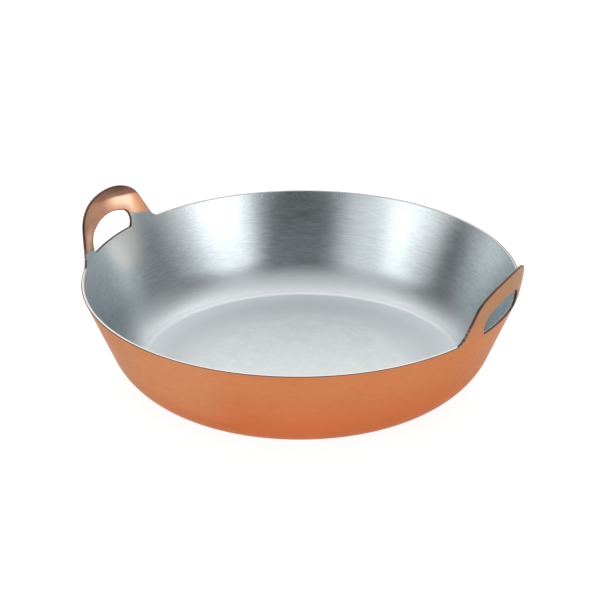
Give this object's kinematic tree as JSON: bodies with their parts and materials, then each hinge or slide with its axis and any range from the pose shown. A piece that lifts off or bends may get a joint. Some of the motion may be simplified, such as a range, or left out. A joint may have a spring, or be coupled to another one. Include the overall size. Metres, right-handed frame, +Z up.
{
  "type": "deep fry pot",
  "caption": "Shallow round copper deep fry pot with a flat floor, a flaring wall, a tinned inside, and upright ears with finger holes on opposite sides of the rim.",
  "frame": {"origin": "centre of the flat underside", "axes": "+Z up; X runs through both ears, with the right ear at +X and the left ear at -X"},
  "size_m": [0.3812, 0.3652, 0.122],
  "materials": {
    "copper": "satin brushed bare copper",
    "tin": "wiped tin, brushed round the bowl"
  },
  "bodies": {
    "root": {"copper_bowl": "copper", "left_ear": "copper", "right_ear": "copper", "tin_lining": "tin"}
  },
  "joints": []
}
